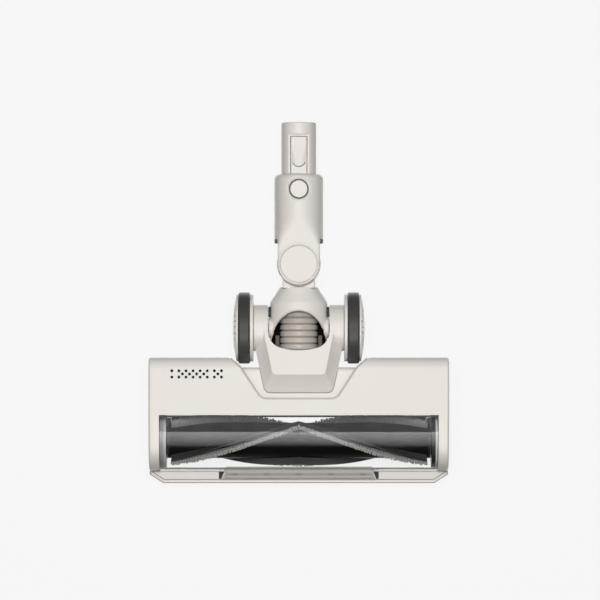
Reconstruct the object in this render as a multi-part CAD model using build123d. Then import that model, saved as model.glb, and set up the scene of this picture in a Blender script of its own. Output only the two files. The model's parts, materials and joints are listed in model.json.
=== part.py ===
"""Motorised floor brush head of a stick vacuum cleaner, one STEP file for each loose piece.

Millimetres, +X to the right, +Y to the rear, +Z up. The pieces are built with Y counted from the wheel
axle, and are moved along Y at the end, so that the origin lies below the middle of the whole object.
"""

import os
from math import acos, atan2, cos, hypot, pi, radians, sin

from build123d import *

# Head: outside of the housing
HALF_WIDTH = 125.0
HEAD_REAR = -24.9
HEAD_TOP = 52.0
HEAD_FRONT = -129.9
REAR_ROUND = 10.0
CREASE_Y = -75.0
WALL = 2.2
SKIRT_Z = 8.0
SOLE_Z = 2.5
FLOOR_TOP = 4.9
NOTCH_Y = -33.1
DECK_Z = 38.5
DECK_ROUND = 4.0
RECESS = [(58.7, -24.9), (49.1, -33.2), (31.8, -59.7)]
VENT_RADIUS = 1.15
VENT_PITCH = 5.89
VENT_START = 19.5 - HALF_WIDTH
LIGHT_WIDTH = 122.8
LIGHT_HEIGHT = 12.3
LIGHT_PITCH = 26.95

# Across the head, counted inwards from its sides
SIDE_FRAME = 8.8
DRIVE_BAY = 8.0
END_WALL = 1.8
BEARING_DEPTH = 6.4
ROLLER_GAP = 0.6
STRIP_MARGIN = 3.5
PULLEY_INSET = 2.8
PULLEY_WIDTH = 2.6
WINDOW_HALF = HALF_WIDTH - SIDE_FRAME
CHAMBER_HALF = HALF_WIDTH - DRIVE_BAY
BEARING_IN = CHAMBER_HALF - BEARING_DEPTH
ROLLER_END = BEARING_IN - ROLLER_GAP
STRIP_END = ROLLER_END - STRIP_MARGIN
PULLEY_OUT = HALF_WIDTH - PULLEY_INSET
PULLEY_IN = PULLEY_OUT - PULLEY_WIDTH
MOUTH_HALF = HALF_WIDTH - 12.5
BUMPER_HALF = HALF_WIDTH - 15.0

# Roller
ROLLER_Y = -93.8
ROLLER_Z = 22.6
FRONT_RADIUS = 26.0
CORE_RADIUS = 15.1
CORE_BORE = 10.0
BRISTLE_RADIUS = 22.3
FIN_RADIUS = 20.9
GROOVE_DEPTH = 1.6
GROOVE_PLAY = 0.1
STRIP_TURN = 104.0
STRIP_START = (31.0, 151.0, 271.0)
ROLLER_PULLEY = 10.0
SHAFT_RADIUS = 3.0

# Window
WINDOW_REAR = -72.8
WINDOW_CREASE = (-86.9, 49.8)
WINDOW_RADIUS = 25.2
WINDOW_WALL = 1.8

# Motor
MOTOR_Y = -45.0
MOTOR_Z = 25.0
MOTOR_RADIUS = 15.5
MOTOR_PULLEY = 5.0
MOTOR_LENGTH = 50.0
MOTOR_LEFT = 13.0 - HALF_WIDTH
MOTOR_SHAFT = 1.6

# Wheels, yoke and elbow, all about the axle
AXLE_Z = 29.85
TYRE_RADIUS = 29.85
PIN_RADIUS = 4.0
RUNNING = 0.06
TYRE_WIDTH = 10.0
RIM_RADIUS = 24.5
FLANGE_RADIUS = 28.0
CAP_RADIUS = 27.85
CAP_HEIGHT = 4.45
CAP_SLOTS = 28
DOME_RADIUS = 125.0
BOSS_RADIUS = 19.3
ARM_INNER = 25.7
ARM_OUTER = 37.7
WHEEL_IN = ARM_OUTER + 0.3
TYRE_IN = WHEEL_IN + 2.6
TYRE_OUT = TYRE_IN + TYRE_WIDTH
EAR_RADIUS = 18.6
EAR_SWEEP = 19.2
HOOD_W = 23.9
HOOD_H = 18.2
HOOD_LIP = 0.9
HOSE_RADIUS = 15.9
HOSE_PITCH = 5.4

# Neck
SWIVEL_Y = 52.9
DISC_RADIUS = 17.2
KNUCKLE_HALF = 17.6
CHEEK_RADIUS = 18.5
DRUM_RADIUS = 15.5
SLEEVE_RADIUS = 20.4
SLEEVE_START = 74.0
SLEEVE_END = 128.5
SPIGOT_RADIUS = 14.6
SEAT_RADIUS = 14.4
SPIGOT_START = 92.0
SPIGOT_END = 171.6
TIP_RADIUS = 14.56
SLOT_END = 160.0
SLOT_LAND = 8.7
BUTTON_Y = 115.4
BUTTON_RADIUS = 7.2
BUTTON_WELL = 8.3
PLUG_Y = 73.4
PLUG_RADIUS = 2.9
LATCH_PIN = 8.6
LATCH_Y = 156.6
LATCH_Z = AXLE_Z + 10.3

SHIFT_Y = -(SPIGOT_END + HEAD_FRONT) / 2


def block(x0, x1, y0, y1, z0, z1):
    """Box between six limits."""
    return Pos((x0 + x1) / 2, (y0 + y1) / 2, (z0 + z1) / 2) * Box(x1 - x0, y1 - y0, z1 - z0)


def rod_x(x0, x1, radius, y, z):
    """Cylinder along X."""
    return Pos((x0 + x1) / 2, y, z) * Rot(0, 90, 0) * Cylinder(radius, x1 - x0)


def rod_y(y0, y1, radius, x, z):
    """Cylinder along Y."""
    return Pos(x, (y0 + y1) / 2, z) * Rot(90, 0, 0) * Cylinder(radius, y1 - y0)


def rod_z(z0, z1, radius, x, y):
    """Cylinder along Z."""
    return Pos(x, y, (z0 + z1) / 2) * Cylinder(radius, z1 - z0)


def polygon(points):
    """Flat face inside a closed line of straight edges."""
    return make_face(Polyline(*points, close=True))


def upright(face, z0, z1):
    """Prism over a plan outline."""
    return extrude(Plane.XY.offset(z0) * face, amount=z1 - z0)


def across(face, x0, x1):
    """Prism along X of an outline that is drawn in Y and Z."""
    return extrude(Plane.YZ.offset(x0) * face, amount=x1 - x0)


def both(points):
    """Outline from the right-hand points and their mirror images."""
    return points + [(-x, y) for x, y in reversed(points)]


def other_side(shape):
    """Mirror image in X."""
    return mirror(shape, about=Plane.YZ)


def oval(y, half_w, half_h):
    """Ellipse about the axle height in a plane across Y."""
    plane = Plane(origin=(0, y, AXLE_Z), x_dir=(1, 0, 0), z_dir=(0, 1, 0))
    return plane * Ellipse(half_w, half_h)


def rounded(y, width, height, radius, z):
    """Rounded rectangle in a plane across Y."""
    plane = Plane(origin=(0, y, z), x_dir=(1, 0, 0), z_dir=(0, 1, 0))
    return plane * RectangleRounded(width, height, radius)


def polar(angle, radius):
    """Point about the roller axis, the angle counted from the rear towards the top."""
    return ROLLER_Y + radius * cos(angle), ROLLER_Z + radius * sin(angle)


def touch_angle(y, z, radius):
    """Angle at which a line from (y, z) touches the circle about the roller axis in front."""
    dy = y - ROLLER_Y
    dz = z - ROLLER_Z
    return atan2(dz, dy) + acos(radius / hypot(dy, dz))


def head_section(inset):
    """Side outline of the head, drawn in by the inset."""
    rear = HEAD_REAR - inset
    top = HEAD_TOP - inset
    radius = FRONT_RADIUS - inset
    bend = REAR_ROUND - inset
    touch = touch_angle(CREASE_Y, top, radius)
    middle = (rear - bend + bend * cos(pi / 4), top - bend + bend * sin(pi / 4))
    edges = [
        Line((rear, SKIRT_Z - inset), (rear, top - bend)),
        ThreePointArc((rear, top - bend), middle, (rear - bend, top)),
        Line((rear - bend, top), (CREASE_Y, top)),
        Line((CREASE_Y, top), polar(touch, radius)),
        ThreePointArc(polar(touch, radius), polar((touch + pi) / 2, radius), polar(pi, radius)),
        Line(polar(pi, radius), (ROLLER_Y - radius, SKIRT_Z - inset)),
        Line((ROLLER_Y - radius, SKIRT_Z - inset), (rear, SKIRT_Z - inset)),
    ]
    return make_face(edges)


def head_plan(inset):
    """Plan outline of the head with the notch of the wheels, drawn in by the inset."""
    x_out = HALF_WIDTH - inset
    front = ROLLER_Y - FRONT_RADIUS + inset
    right = [
        (x_out, front),
        (x_out, HEAD_REAR - inset),
        (RECESS[0][0] + 1.2 * inset, HEAD_REAR - inset),
        (RECESS[1][0] + 0.6 * inset, NOTCH_Y - inset),
    ]
    return polygon(both(right))


def recess_plan(grow):
    """Plan outline of the recess around the yoke, widened by the growth."""
    right = [
        (RECESS[0][0] + 1.3 * grow, HEAD_REAR + 1),
        (RECESS[1][0] + 1.3 * grow, RECESS[1][1]),
        (RECESS[2][0] + 0.7 * grow, RECESS[2][1] - grow),
    ]
    face = polygon(both(right))
    corners = face.vertices().sort_by(Axis.Y)[:2]
    return fillet(corners, 9 + grow)


nodes = {}

# Light: a lens on the slope of the bumper, with its board behind it
light_plane = Plane(origin=(0, -121.85, 17.65), x_dir=(1, 0, 0), z_dir=(0, -0.691, 0.723))
light_mouth = loft([
    light_plane * Rectangle(LIGHT_WIDTH, LIGHT_HEIGHT),
    light_plane.offset(7) * Rectangle(LIGHT_WIDTH + 14.2, LIGHT_HEIGHT + 1.2),
])
light_seat = extrude(light_plane * Rectangle(LIGHT_WIDTH, LIGHT_HEIGHT), amount=-2)
board_face = Pos(0, -1.6) * Rectangle(LIGHT_WIDTH - 0.8, 5.2)
board_seat = extrude(light_plane.offset(-2) * board_face, amount=-2.4)
light_pocket = light_mouth + light_seat + board_seat
nodes["light_lens"] = light_seat
light_board = extrude(light_plane.offset(-3.2) * board_face, amount=-1.2)
for k in range(-2, 3):
    chip = light_plane.offset(-3.2) * Pos(LIGHT_PITCH * k, -1.3) * Rectangle(3.5, 3.5)
    light_board += extrude(chip, amount=1.1)
nodes["light_board"] = light_board

# Top cover: moulded skin with the window opening, the recess of the yoke and the vents
cover = across(head_section(0), -HALF_WIDTH, HALF_WIDTH)
cover = fillet(cover.faces().filter_by(Axis.X).edges().filter_by(lambda e: e.center().Z > 12), 2.0)
cover = cover & upright(head_plan(0), 0, 80)
cover -= upright(recess_plan(0), DECK_Z, 80)
cavity = across(head_section(WALL), WALL - HALF_WIDTH, HALF_WIDTH - WALL)
cavity = cavity & upright(head_plan(WALL), 0, 80)
cavity -= upright(recess_plan(WALL), DECK_Z - WALL, 80)
cover -= cavity
cover -= block(-WINDOW_HALF, WINDOW_HALF, -122, WINDOW_REAR, ROLLER_Z, 60)
cover -= block(-21, 21, -52, -30, 30, 39)
cover -= block(-30.3, 30.3, -36, -32, 0, DECK_Z + 0.1)
cover -= light_pocket
round_y = NOTCH_Y - DECK_ROUND
round_z = DECK_Z - DECK_ROUND
deck_corner = block(-47, 47, round_y, NOTCH_Y + 0.5, round_z, DECK_Z)
cover -= deck_corner - rod_x(-50, 50, DECK_ROUND, round_y, round_z)
for column in range(8):
    for row in (-36.0, -41.2):
        cover -= rod_z(45, 55, VENT_RADIUS, VENT_START + VENT_PITCH * column, row)
for gap in (1, 2, 3, 4, 6):
    cover -= rod_z(45, 55, VENT_RADIUS, VENT_START + VENT_PITCH * (gap + 0.5), -38.6)
SCREW_FRONT = HALF_WIDTH - 10
SCREW_REAR = HALF_WIDTH - 8
SCREW_SPOTS = [(SCREW_FRONT, -64), (-SCREW_FRONT, -64), (SCREW_REAR, -31.2), (-SCREW_REAR, -31.2)]
for x, y in SCREW_SPOTS:
    cover += rod_z(5.2, HEAD_TOP - 1, 3.5, x, y) & across(head_section(0.5), 1 - HALF_WIDTH, HALF_WIDTH - 1)
    cover -= rod_z(0, 16, 1.5, x, y)
nodes["top_cover"] = cover

# Window: clear strip with a crease, bent about the roller
rear_point = (WINDOW_REAR - 0.1, 51.5)
crease = WINDOW_CREASE
touch = touch_angle(*crease, WINDOW_RADIUS)
length = hypot(rear_point[0] - crease[0], rear_point[1] - crease[1])
normal_a = ((crease[1] - rear_point[1]) / length, (rear_point[0] - crease[0]) / length)
normal_b = (cos(touch), sin(touch))
share = WINDOW_WALL / (1 + normal_a[0] * normal_b[0] + normal_a[1] * normal_b[1])
inner_crease = (
    crease[0] - share * (normal_a[0] + normal_b[0]),
    crease[1] - share * (normal_a[1] + normal_b[1]),
)
inner_rear = (rear_point[0], rear_point[1] - WINDOW_WALL)
inner = WINDOW_RADIUS - WINDOW_WALL
nodes["roller_window"] = across(
    make_face([
        Line(rear_point, crease),
        Line(crease, polar(touch, WINDOW_RADIUS)),
        ThreePointArc(
            polar(touch, WINDOW_RADIUS), polar((touch + pi) / 2, WINDOW_RADIUS), polar(pi, WINDOW_RADIUS)
        ),
        Line(polar(pi, WINDOW_RADIUS), polar(pi, inner)),
        ThreePointArc(polar(pi, inner), polar((touch + pi) / 2, inner), polar(touch, inner)),
        Line(polar(touch, inner), inner_crease),
        Line(inner_crease, inner_rear),
        Line(inner_rear, rear_point),
    ]),
    0.1 - WINDOW_HALF,
    WINDOW_HALF - 0.1,
)

# Window clips: three small catches on the inside of the front rail
clips = block(WINDOW_HALF - 24, WINDOW_HALF - 12, -117.6, -116.7, 17, 22.5)
nodes["window_clips"] = clips + other_side(clips) + block(-5, 5, -117.6, -116.9, 15, 18.5)

# Front bumper: nose with cut corners, hollow from below
bumper_plan = both([(HALF_WIDTH, -119.9), (HALF_WIDTH, -122.6), (HALF_WIDTH - 11.2, HEAD_FRONT)])
bumper = upright(polygon(bumper_plan), 3, 20.5)
above_slope = polygon([(-119.8, 20.56), (-140, 7.4), (-140, 40), (-119.8, 40)])
bumper -= across(above_slope, -HALF_WIDTH - 5, HALF_WIDTH + 5)
slope = bumper.faces().sort_by(Axis.Z)[-1]
bumper = fillet(slope.edges().filter_by(lambda e: e.center().Y < -120.5), 2.8)
bumper -= block(-BUMPER_HALF, BUMPER_HALF, -127.5, -122, 2, 10.5)
bumper -= block(-BUMPER_HALF, BUMPER_HALF, -127.5, -119, 2, 4.95)
bumper -= light_pocket
nodes["front_bumper"] = bumper

# Base housing: tray with the suction mouth, chamber walls, motor cradle and board posts
base = upright(head_plan(0), SOLE_Z, SKIRT_Z - 0.2)
base -= upright(head_plan(2.4), FLOOR_TOP, 20)
lip = upright(head_plan(2.35), FLOOR_TOP, 10.5) - upright(head_plan(3.95), 0, 20)
base += lip
base += block(0.5 - BUMPER_HALF, BUMPER_HALF - 0.5, -127.3, -119, SOLE_Z, FLOOR_TOP)
base -= block(-30.3, 30.3, -38, -30, FLOOR_TOP, 20)
wall_out = CHAMBER_HALF + END_WALL
end_wall = across(Pos(ROLLER_Y, ROLLER_Z) * Circle(23.3), CHAMBER_HALF, wall_out)
end_wall -= block(0, 2 * HALF_WIDTH, -130, -60, -5, FLOOR_TOP - 1)
end_wall += block(CHAMBER_HALF, wall_out, -117.0, -69, FLOOR_TOP - 1, ROLLER_Z)
end_wall += block(CHAMBER_HALF, wall_out, ROLLER_Y, -69, ROLLER_Z, 45)
base += end_wall + other_side(end_wall)
base += block(-wall_out, wall_out, -70.8, -69, FLOOR_TOP - 1, HEAD_TOP - WALL - 0.3)
for x in (MOTOR_LEFT + 6, MOTOR_LEFT + MOTOR_LENGTH - 9):
    base += block(x, x + 3, -58, -32, FLOOR_TOP - 1, 22)
base -= rod_x(MOTOR_LEFT - 2, MOTOR_LEFT + MOTOR_LENGTH + 2, MOTOR_RADIUS + 0.02, MOTOR_Y, MOTOR_Z)
BOARD_RIGHT = HALF_WIDTH - 17
BOARD_LEFT = BOARD_RIGHT - 46
for x in (BOARD_LEFT + 3, BOARD_RIGHT - 3):
    for y in (-59, -37):
        base += rod_z(FLOOR_TOP - 1, 13, 2.5, x, y)
base -= block(-MOUTH_HALF, MOUTH_HALF, -117.3, -71, 0, 30)
base -= block(-27, 27, -72, -68, 7.6, 33.4)
base -= rod_x(-HALF_WIDTH, 2 - CHAMBER_HALF, SHAFT_RADIUS + 0.6, ROLLER_Y, ROLLER_Z)
BASE_SCREWS = SCREW_SPOTS + [(24, -37.2), (-24, -37.2)]
for x, y in BASE_SCREWS:
    base -= rod_z(0, 12, 1.6, x, y)
    base -= rod_z(0, SOLE_Z + 1.5, 3.3, x, y)
for x, y in SCREW_SPOTS:
    base -= rod_z(FLOOR_TOP, 12, 3.7, x, y)
nodes["base_housing"] = base

screws = [rod_z(SOLE_Z + 0.1, SOLE_Z + 1.5, 3.0, x, y) + rod_z(3, 10.5, 1.5, x, y) for x, y in BASE_SCREWS]
nodes["base_screws"] = Compound(screws)

skid_in = HALF_WIDTH - 11.5
skid_out = skid_in + 8
skid = block(skid_in, skid_out, -114, -62, 0.6, SOLE_Z) + block(skid_in, skid_out, -110, -66, 0, 0.6)
nodes["skid_right"] = skid
nodes["skid_left"] = other_side(skid)
nodes["seal_strip"] = block(7.5 - MOUTH_HALF, MOUTH_HALF - 7.5, -70.5, -66.5, 0.6, SOLE_Z)

# Roller bearings in their blocks
BEARING_RADIUS = 7.0
bearing_seat = BEARING_IN + 1.9
bearing_block = across(Pos(ROLLER_Y, ROLLER_Z) * Circle(22.8), BEARING_IN, CHAMBER_HALF)
bearing_block -= block(0, 2 * HALF_WIDTH, -130, -60, -5, FLOOR_TOP)
bearing_block += block(MOUTH_HALF + 0.1, CHAMBER_HALF, -112, -76, FLOOR_TOP, ROLLER_Z)
bearing_block -= rod_x(bearing_seat, CHAMBER_HALF + 1, BEARING_RADIUS, ROLLER_Y, ROLLER_Z)
bearing_block -= rod_x(BEARING_IN - 1, CHAMBER_HALF + 1, SHAFT_RADIUS + 0.6, ROLLER_Y, ROLLER_Z)
bearing = rod_x(bearing_seat, CHAMBER_HALF - 0.1, BEARING_RADIUS, ROLLER_Y, ROLLER_Z)
bearing -= rod_x(BEARING_IN, CHAMBER_HALF + 1, SHAFT_RADIUS + RUNNING, ROLLER_Y, ROLLER_Z)
nodes["bearing_block_right"] = bearing_block
nodes["bearing_block_left"] = other_side(bearing_block)
nodes["roller_bearing_right"] = bearing
nodes["roller_bearing_left"] = other_side(bearing)

# Brush roller: tube, caps with shafts, three chevron bristle strips and three fins
CORE_END = ROLLER_END - 2
core = rod_x(-CORE_END, CORE_END, CORE_RADIUS, ROLLER_Y, ROLLER_Z)
core -= rod_x(-ROLLER_END, ROLLER_END, CORE_BORE, ROLLER_Y, ROLLER_Z)
cap = rod_x(CORE_END, ROLLER_END, CORE_RADIUS, ROLLER_Y, ROLLER_Z)
cap += rod_x(CORE_END - 8, CORE_END, CORE_BORE, ROLLER_Y, ROLLER_Z)
shaft_from = ROLLER_END - 1
nodes["roller_cap_right"] = cap + rod_x(shaft_from, CHAMBER_HALF - 0.4, SHAFT_RADIUS, ROLLER_Y, ROLLER_Z)
nodes["roller_cap_left"] = other_side(cap) + rod_x(-PULLEY_OUT, -shaft_from, SHAFT_RADIUS, ROLLER_Y, ROLLER_Z)
pulley = rod_x(-PULLEY_OUT, -PULLEY_IN, ROLLER_PULLEY, ROLLER_Y, ROLLER_Z)
nodes["roller_pulley"] = pulley - rod_x(-HALF_WIDTH, -CHAMBER_HALF, SHAFT_RADIUS, ROLLER_Y, ROLLER_Z)


def chevron(start, root, tip, root_half, tip_half):
    """Strip that stands out from the core and turns by STRIP_TURN from the middle to either end."""
    sections = []
    steps = 6
    for k in range(steps + 1):
        x = STRIP_END * k / steps
        angle = radians(90 - start + STRIP_TURN * x / STRIP_END)
        out = (cos(angle), sin(angle))
        side = (-sin(angle), cos(angle))
        corners = [(root, root_half), (tip, tip_half), (tip, -tip_half), (root, -root_half)]
        points = [
            (ROLLER_Y + r * out[0] + s * side[0], ROLLER_Z + r * out[1] + s * side[1]) for r, s in corners
        ]
        sections.append(Plane.YZ.offset(x) * polygon(points))
    half = loft(sections)
    return half + other_side(half)


ROOT_RADIUS = CORE_RADIUS - GROOVE_DEPTH
for k, start in enumerate(STRIP_START, 1):
    nodes[f"bristle_strip_{k}"] = chevron(start, ROOT_RADIUS + GROOVE_PLAY, BRISTLE_RADIUS, 1.4, 1.9)
    nodes[f"fin_strip_{k}"] = chevron(start + 17, ROOT_RADIUS + GROOVE_PLAY, FIN_RADIUS, 0.8, 0.6)
    core -= chevron(start, ROOT_RADIUS, CORE_RADIUS + 1, 1.4 + GROOVE_PLAY, 1.56 + GROOVE_PLAY)
    core -= chevron(start + 17, ROOT_RADIUS, CORE_RADIUS + 1, 0.8 + GROOVE_PLAY, 0.8 + GROOVE_PLAY)
nodes["roller_core"] = core

# Drive: motor, its pulley on the shaft, and the belt to the roller
motor = rod_x(MOTOR_LEFT, MOTOR_LEFT + MOTOR_LENGTH, MOTOR_RADIUS, MOTOR_Y, MOTOR_Z)
motor += rod_x(MOTOR_LEFT - 2, MOTOR_LEFT, 6, MOTOR_Y, MOTOR_Z)
nodes["brush_motor"] = motor - rod_x(MOTOR_LEFT - 3, MOTOR_LEFT + 9, MOTOR_SHAFT + RUNNING, MOTOR_Y, MOTOR_Z)
rotor = rod_x(-PULLEY_OUT, MOTOR_LEFT + 8, MOTOR_SHAFT, MOTOR_Y, MOTOR_Z)
nodes["motor_pulley"] = rotor + rod_x(-PULLEY_OUT, -PULLEY_IN, MOTOR_PULLEY, MOTOR_Y, MOTOR_Z)


def belt_loop(gap):
    """Outline of a belt that lies the gap away from both pulleys."""
    front = Pos(ROLLER_Y, ROLLER_Z) * Circle(ROLLER_PULLEY + gap)
    rear = Pos(MOTOR_Y, MOTOR_Z) * Circle(MOTOR_PULLEY + gap)
    return make_hull(front.edges() + rear.edges())


belt = across(belt_loop(1.2), 0.2 - PULLEY_OUT, -PULLEY_IN - 0.2)
nodes["drive_belt"] = belt - across(belt_loop(0.1), -HALF_WIDTH, -CHAMBER_HALF)

board = block(BOARD_LEFT, BOARD_RIGHT, -62, -34, 13, 14.6)
board += block(BOARD_RIGHT - 18, BOARD_RIGHT - 4, -56, -44, 14.6, 20)
board += rod_z(14.6, 26, 5, BOARD_LEFT + 13, -48)
nodes["control_board"] = board + block(BOARD_LEFT + 4, BOARD_LEFT + 10, -40, -36, 14.6, 22)

# Suction duct: from the chamber wall to the hose, open inside
DUCT_RADIUS = 15.6
duct = loft([rounded(-69, 58, 28, 8, 20.5), rounded(-53, 40, 28, 9, 21.5)], ruled=True)
duct += loft([rounded(-53, 40, 28, 9, 21.5), rounded(-38, 31.2, 31.2, 15.5, AXLE_Z)], ruled=True)
duct += rod_y(-38, -26, DUCT_RADIUS, 0, AXLE_Z)
bore = loft([rounded(-69, 54.4, 24.4, 6.2, 20.5), rounded(-53, 36.4, 24.4, 7.2, 21.5)], ruled=True)
bore += loft([rounded(-53, 36.4, 24.4, 7.2, 21.5), rounded(-38, 27.8, 27.8, 13.8, AXLE_Z)], ruled=True)
bore += rod_y(-38, -25, 13.9, 0, AXLE_Z)
nodes["suction_duct"] = duct - bore

# Yoke: cover with the flat top and base below the axle plane, which clamp the axle pins
YOKE_TOP = AXLE_Z + BOSS_RADIUS
yoke_foot = polygon(both([(37.7, 0), (37.7, -10.7), (28.2, -54.2)]))
yoke_foot = fillet(yoke_foot.vertices().sort_by(Axis.Y)[:2], 5.5)
yoke_flat = polygon(both([(29.75, 0), (27.6, -10.7), (21.8, -39.0)]))
yoke_flat = fillet(yoke_flat.vertices().sort_by(Axis.Y)[:2], 3.5)
boss = rod_x(ARM_INNER, ARM_OUTER, BOSS_RADIUS, 0, AXLE_Z)
bosses = boss + other_side(boss)
root = upright(yoke_foot, 10.55, DECK_Z) & block(-40, 40, -33, 0, 0, 60)
slot = make_face([
    Line((25.7, 40), (25.7, -3)),
    ThreePointArc((25.7, -3), (23.2, -11), (16, -16.6)),
    ThreePointArc((16, -16.6), (0, -18.9), (-16, -16.6)),
    ThreePointArc((-16, -16.6), (-23.2, -11), (-25.7, -3)),
    Line((-25.7, -3), (-25.7, 40)),
    Line((-25.7, 40), (25.7, 40)),
])
sweep_room = rod_x(-ARM_INNER, ARM_INNER, EAR_SWEEP, 0, AXLE_Z)
pin_holes = rod_x(-40, 40, PIN_RADIUS, 0, AXLE_Z)

yoke_cover = loft([Plane.XY.offset(DECK_Z) * yoke_foot, Plane.XY.offset(YOKE_TOP) * yoke_flat], ruled=True)
yoke_cover += (bosses + root) & block(-60, 60, -60, 60, AXLE_Z, 80)
yoke_room = loft([
    Plane.XY.offset(DECK_Z) * polygon(both([(22.5, -6), (22.5, -30), (22.5, -51.0)])),
    Plane.XY.offset(YOKE_TOP - 2.5) * polygon(both([(21.5, -6), (20.5, -20), (19.0, -39.2)])),
], ruled=True)
yoke_room += block(-22.5, 22.5, -51, -6, AXLE_Z - 1, DECK_Z)
yoke_cover -= upright(slot, 0, 80) + sweep_room + yoke_room
nodes["yoke_cover"] = yoke_cover - pin_holes

yoke_base = (bosses + root) & block(-60, 60, -60, 60, 0, AXLE_Z)
yoke_base -= sweep_room + block(-22.5, 22.5, -40, 30, 13.2, 40)
yoke_base -= block(-ARM_INNER, ARM_INNER, -15, 40, 0, 40)
yoke_base += block(-30, 30, -33, -25, 6, 13.2) + block(-30, 30, -41, -33, FLOOR_TOP, 11.4)
for x, y in BASE_SCREWS[4:]:
    yoke_base -= rod_z(0, 10.5, 1.5, x, y)
nodes["yoke_base"] = yoke_base - pin_holes

# Axle pins: each carries a wheel outside the arm and an ear of the elbow inside it
hub_out = TYRE_OUT - 0.3
axle = rod_x(20.7, hub_out + 0.7, PIN_RADIUS, 0, AXLE_Z) + rod_x(hub_out + 0.2, hub_out + 1.7, 6.5, 0, AXLE_Z)
nodes["axle_pin_right"] = axle
nodes["axle_pin_left"] = other_side(axle)

# Wheels: hub, tyre and domed cap
hub = rod_x(WHEEL_IN, TYRE_IN - 0.1, FLANGE_RADIUS, 0, AXLE_Z)
hub += rod_x(TYRE_IN - 0.1, hub_out, RIM_RADIUS, 0, AXLE_Z)
hub -= rod_x(ARM_OUTER, TYRE_OUT + 1, PIN_RADIUS + RUNNING, 0, AXLE_Z)
tyre = rod_x(TYRE_IN, TYRE_OUT, TYRE_RADIUS, 0, AXLE_Z)
tyre = fillet(tyre.edges().filter_by(GeomType.CIRCLE), 1.7)
tyre -= rod_x(WHEEL_IN, TYRE_OUT + 1, RIM_RADIUS, 0, AXLE_Z)
cap_in = TYRE_OUT + 0.05
cap_top = cap_in + CAP_HEIGHT
ball = Pos(cap_top - DOME_RADIUS, 0, AXLE_Z) * Rot(0, 0, 180) * Sphere(DOME_RADIUS)
hub_cap = rod_x(cap_in, cap_top + 1, CAP_RADIUS, 0, AXLE_Z) & ball
hub_cap += rod_x(hub_out, cap_in + 0.05, RIM_RADIUS - 0.5, 0, AXLE_Z)
hub_cap -= rod_x(hub_out - 0.3, hub_out + 2.7, 8.0, 0, AXLE_Z)
cap_slot = block(cap_in + 1.55, cap_top + 1, -1.0, 1.0, 16.5, 24.5)
for k in range(CAP_SLOTS):
    hub_cap -= Pos(0, 0, AXLE_Z) * Rot(360 * k / CAP_SLOTS, 0, 0) * cap_slot
for side, flip in (("right", lambda s: s), ("left", other_side)):
    nodes[f"wheel_hub_{side}"] = flip(hub)
    nodes[f"tyre_{side}"] = flip(tyre)
    nodes[f"hub_cap_{side}"] = flip(hub_cap)

# Elbow: oval hood between the arms, flared towards a drum that the neck swivels on
UPPER = block(-90, 90, -90, 240, AXLE_Z, 120)
LOWER = block(-90, 90, -90, 240, -60, AXLE_Z)
hood = loft([oval(-19, HOOD_W, HOOD_H), oval(21.3, HOOD_W, HOOD_H)], ruled=True)
hood += loft([oval(21.3, HOOD_W, HOOD_H), oval(34, 15.6, 13.6)], ruled=True)
hood_room = loft([oval(-25, HOOD_W - 2, HOOD_H - 1.9), oval(21.3, HOOD_W - 2, HOOD_H - 1.9)], ruled=True)
hood_flare = loft([oval(21.3, HOOD_W - 2, HOOD_H - 1.9), oval(34, 13.6, 11.6)], ruled=True)
hood -= hood_room + hood_flare
hood = hood & (block(-40, 40, 0, 80, -10, 80) + rod_x(-40, 40, EAR_RADIUS, 0, AXLE_Z))
arch = [(22.5, 23.2), (-19.5, -3.0), (-60, -3.0), (-60, 40), (22.5, 40)]
hood -= across(polygon([(y, AXLE_Z + z) for y, z in arch]), -40, 40)
lip_room = loft([oval(y, HOOD_W - HOOD_LIP, HOOD_H - HOOD_LIP) for y in (-25, 21.3)], ruled=True)
hood -= across(polygon([(y + 4, AXLE_Z + z) for y, z in arch]), -40, 40) & lip_room
ear = rod_x(20.9, 25.3, 8.5, 0, AXLE_Z)
drum = rod_z(AXLE_Z - 12.8, AXLE_Z + 12.4, DRUM_RADIUS, 0, SWIVEL_Y)
drum += block(-13.5, 13.5, 33, SWIVEL_Y, AXLE_Z - 12.4, AXLE_Z + 12.2)
drum -= block(-11, 11, 20, 80, AXLE_Z - 8.5, AXLE_Z + 8.5)
elbow = hood + ear + other_side(ear) + drum
elbow -= rod_x(-40, 40, PIN_RADIUS + RUNNING, 0, AXLE_Z)
elbow -= rod_z(0, 80, PIN_RADIUS + RUNNING, 0, SWIVEL_Y)
ELBOW_SCREWS = [(12.2, 37.0), (-12.2, 37.0)]
for x, y in ELBOW_SCREWS:
    elbow -= rod_z(AXLE_Z - 20, AXLE_Z + 8, 0.9, x, y)
    elbow -= rod_z(0, AXLE_Z - 10.4, 1.7, x, y)
nodes["elbow_front"] = elbow & UPPER
nodes["elbow_back"] = elbow & LOWER
screws = [
    rod_z(AXLE_Z - 12.2, AXLE_Z - 10.4, 1.7, x, y) + rod_z(AXLE_Z - 11, AXLE_Z + 7, 0.9, x, y)
    for x, y in ELBOW_SCREWS
]
nodes["elbow_screws"] = Compound(screws)

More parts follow.
